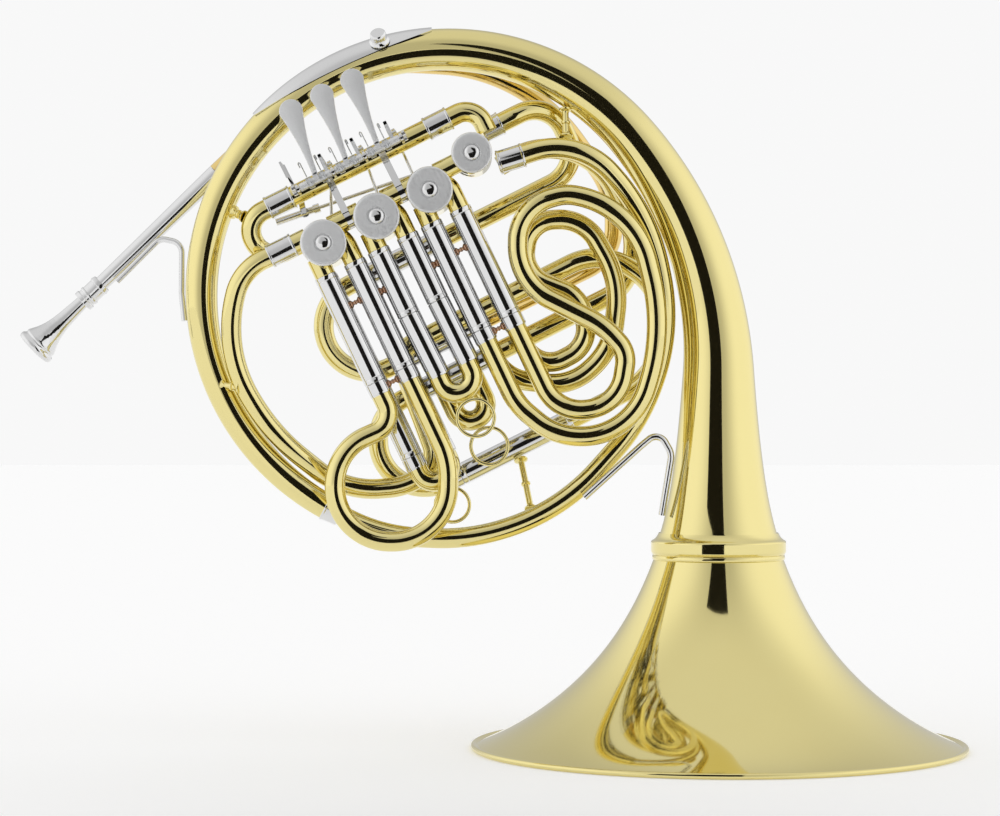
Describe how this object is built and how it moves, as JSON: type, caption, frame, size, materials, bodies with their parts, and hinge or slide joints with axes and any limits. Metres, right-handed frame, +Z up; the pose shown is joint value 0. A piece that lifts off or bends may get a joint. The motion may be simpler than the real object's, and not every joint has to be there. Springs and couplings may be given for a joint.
{
  "type": "double french horn",
  "caption": "Double horn in F and B flat standing on its bell, with rotary valves, string-free lever action, pull slides, removable bell and mouthpiece.",
  "frame": {"origin": "centre of the bell rim's flat underside, where the horn stands", "axes": "+Z up the bell axis, +X from the wrap towards the bell, -Y towards the side of the valve caps and finger levers"},
  "size_m": [0.5935, 0.31, 0.4502],
  "materials": {
    "lacquered_brass": "polished",
    "gold_brass": "polished",
    "nickel_silver": "polished",
    "bronze": "polished",
    "spring_steel": "satin",
    "cork": "matte"
  },
  "bodies": {
    "horn": {"bell_tail": "lacquered_brass", "bell_tail_collar": "lacquered_brass", "bell_tail_ferrule": "nickel_silver", "main_branch": "lacquered_brass", "change_branch": "lacquered_brass", "left_coil": "lacquered_brass", "leadpipe": "gold_brass", "mouthpiece_receiver": "nickel_silver", "leadpipe_wire_brace": "nickel_silver", "lever_tube": "lacquered_brass", "tuning_branch": "lacquered_brass", "tuning_sleeves": "nickel_silver", "nickel_ferrules": "nickel_silver", "valve_casing_1": "lacquered_brass", "valve_casing_2": "lacquered_brass", "valve_casing_3": "lacquered_brass", "valve_casing_4": "lacquered_brass", "valve_caps": "nickel_silver", "valve_bearings": "lacquered_brass", "valve_knuckles": "lacquered_brass", "f_valve_sleeves": "nickel_silver", "bflat_valve_sleeves": "nickel_silver", "hand_guard": "nickel_silver", "guard_boss": "nickel_silver", "bell_stay": "nickel_silver", "slide_braces": "bronze", "body_braces": "lacquered_brass", "lever_axle": "nickel_silver", "lever_posts": "nickel_silver", "lever_straps": "nickel_silver", "lever_springs": "spring_steel", "stop_corks": "cork"},
    "bell": {"bell_flare": "lacquered_brass", "bell_flare_collar": "lacquered_brass"},
    "rotor_1_body": {"rotor_1": "lacquered_brass", "stop_arm_1": "nickel_silver"},
    "rotor_2_body": {"rotor_2": "lacquered_brass", "stop_arm_2": "nickel_silver"},
    "rotor_3_body": {"rotor_3": "lacquered_brass", "stop_arm_3": "nickel_silver"},
    "rotor_4_body": {"rotor_4": "lacquered_brass", "stop_arm_4": "nickel_silver"},
    "finger_lever_1_body": {"finger_lever_1": "nickel_silver"},
    "finger_lever_2_body": {"finger_lever_2": "nickel_silver"},
    "finger_lever_3_body": {"finger_lever_3": "nickel_silver"},
    "thumb_lever_body": {"thumb_lever": "nickel_silver"},
    "link_rod_1_body": {"link_rod_1": "nickel_silver"},
    "link_rod_2_body": {"link_rod_2": "nickel_silver"},
    "link_rod_3_body": {"link_rod_3": "nickel_silver"},
    "link_rod_4_body": {"link_rod_4": "nickel_silver"},
    "f_slide_1_body": {"f_slide_1": "lacquered_brass"},
    "f_slide_2_body": {"f_slide_2": "lacquered_brass"},
    "f_slide_3_body": {"f_slide_3": "lacquered_brass"},
    "bflat_slide_1_body": {"bflat_slide_1": "lacquered_brass"},
    "bflat_slide_2_body": {"bflat_slide_2": "lacquered_brass"},
    "bflat_slide_3_body": {"bflat_slide_3": "lacquered_brass"},
    "main_tuning_slide_body": {"main_tuning_slide": "lacquered_brass"},
    "f_tuning_slide_body": {"f_tuning_slide": "lacquered_brass"},
    "mouthpiece_body": {"mouthpiece": "nickel_silver"}
  },
  "joints": [
    {"name": "finger_lever_1_turn", "type": "hinge", "parent": "horn", "child": "finger_lever_1_body", "pos_m": [-0.24903, -0.026, 0.35335], "axis": [-0.8944, 0, -0.4473], "range_deg": [0, 11.25], "stiffness_Nm_per_rad": 0.15, "springref_deg": -14.32},
    {"name": "link_rod_1_swing", "type": "hinge", "parent": "finger_lever_1_body", "child": "link_rod_1_body", "pos_m": [-0.24375, 0.0175, 0.36606], "axis": [-0.8944, 0, -0.4473], "range_deg": [-11.25, 0]},
    {"name": "finger_lever_2_turn", "type": "hinge", "parent": "horn", "child": "finger_lever_2_body", "pos_m": [-0.23025, -0.026, 0.36275], "axis": [-0.8944, 0, -0.4473], "range_deg": [0, 11.25], "stiffness_Nm_per_rad": 0.15, "springref_deg": -14.32},
    {"name": "link_rod_2_swing", "type": "hinge", "parent": "finger_lever_2_body", "child": "link_rod_2_body", "pos_m": [-0.22408, 0.0175, 0.3759], "axis": [-0.8944, 0, -0.4473], "range_deg": [-11.25, 0]},
    {"name": "finger_lever_3_turn", "type": "hinge", "parent": "horn", "child": "finger_lever_3_body", "pos_m": [-0.21102, -0.026, 0.37236], "axis": [-0.8944, 0, -0.4473], "range_deg": [0, 11.25], "stiffness_Nm_per_rad": 0.15, "springref_deg": -14.32},
    {"name": "link_rod_3_swing", "type": "hinge", "parent": "finger_lever_3_body", "child": "link_rod_3_body", "pos_m": [-0.20333, 0.0175, 0.38627], "axis": [-0.8944, 0, -0.4473], "range_deg": [-11.25, 0]},
    {"name": "thumb_lever_turn", "type": "hinge", "parent": "horn", "child": "thumb_lever_body", "pos_m": [-0.262, 0.008, 0.34575], "axis": [0, -1, 0], "range_deg": [0, 30], "stiffness_Nm_per_rad": 0.08, "springref_deg": -14.32},
    {"name": "link_rod_4_swing", "type": "hinge", "parent": "thumb_lever_body", "child": "link_rod_4_body", "pos_m": [-0.26002, 0.023, 0.3361], "axis": [0, -1, 0], "range_deg": [-30, 0]},
    {"name": "rotor_1_turn", "type": "hinge", "parent": "horn", "child": "rotor_1_body", "pos_m": [-0.245, 0, 0.314], "axis": [0, 1, 0], "range_deg": [0, 90]},
    {"name": "rotor_2_turn", "type": "hinge", "parent": "horn", "child": "rotor_2_body", "pos_m": [-0.21235, 0, 0.33033], "axis": [0, 1, 0], "range_deg": [0, 90]},
    {"name": "rotor_3_turn", "type": "hinge", "parent": "horn", "child": "rotor_3_body", "pos_m": [-0.17971, 0, 0.34665], "axis": [0, -1, 0], "range_deg": [0, 90]},
    {"name": "rotor_4_turn", "type": "hinge", "parent": "horn", "child": "rotor_4_body", "pos_m": [-0.15391, 0, 0.36951], "axis": [0, 1, 0], "range_deg": [0, 90]},
    {"name": "f_slide_1_pull", "type": "slide", "parent": "horn", "child": "f_slide_1_body", "axis": [0.4293, 0, -0.9032], "range_m": [0, 0.04]},
    {"name": "f_slide_2_pull", "type": "slide", "parent": "horn", "child": "f_slide_2_body", "axis": [0.4293, 0, -0.9032], "range_m": [0, 0.02]},
    {"name": "f_slide_3_pull", "type": "slide", "parent": "horn", "child": "f_slide_3_body", "axis": [0.4293, 0, -0.9032], "range_m": [0, 0.012]},
    {"name": "bflat_slide_1_pull", "type": "slide", "parent": "horn", "child": "bflat_slide_1_body", "axis": [0.4293, 0, -0.9032], "range_m": [0, 0.015]},
    {"name": "bflat_slide_2_pull", "type": "slide", "parent": "horn", "child": "bflat_slide_2_body", "axis": [0.4293, 0, -0.9032], "range_m": [0, 0.02]},
    {"name": "bflat_slide_3_pull", "type": "slide", "parent": "horn", "child": "bflat_slide_3_body", "axis": [0.4293, 0, -0.9032], "range_m": [0, 0.012]},
    {"name": "main_tuning_slide_pull", "type": "slide", "parent": "horn", "child": "main_tuning_slide_body", "axis": [-0.8944, 0, -0.4473], "range_m": [0, 0.03]},
    {"name": "f_tuning_slide_pull", "type": "slide", "parent": "horn", "child": "f_tuning_slide_body", "axis": [-0.8944, 0, -0.4473], "range_m": [0, 0.028]},
    {"name": "bell_unscrew", "type": "slide", "parent": "horn", "child": "bell", "axis": [0, 0, -1], "range_m": [0, 0.012]},
    {"name": "mouthpiece_pull", "type": "slide", "parent": "horn", "child": "mouthpiece_body", "axis": [-0.7196, 0, -0.6944], "range_m": [0, 0.02]}
  ],
  "couplings": [
    {"joint": "link_rod_1_swing", "follows": "finger_lever_1_turn", "ratio": -1},
    {"joint": "link_rod_2_swing", "follows": "finger_lever_2_turn", "ratio": -1},
    {"joint": "link_rod_3_swing", "follows": "finger_lever_3_turn", "ratio": -1},
    {"joint": "link_rod_4_swing", "follows": "thumb_lever_turn", "ratio": -1},
    {"joint": "rotor_1_turn", "follows": "finger_lever_1_turn", "ratio": 8},
    {"joint": "rotor_2_turn", "follows": "finger_lever_2_turn", "ratio": 8},
    {"joint": "rotor_3_turn", "follows": "finger_lever_3_turn", "ratio": 8},
    {"joint": "rotor_4_turn", "follows": "thumb_lever_turn", "ratio": 3}
  ]
}
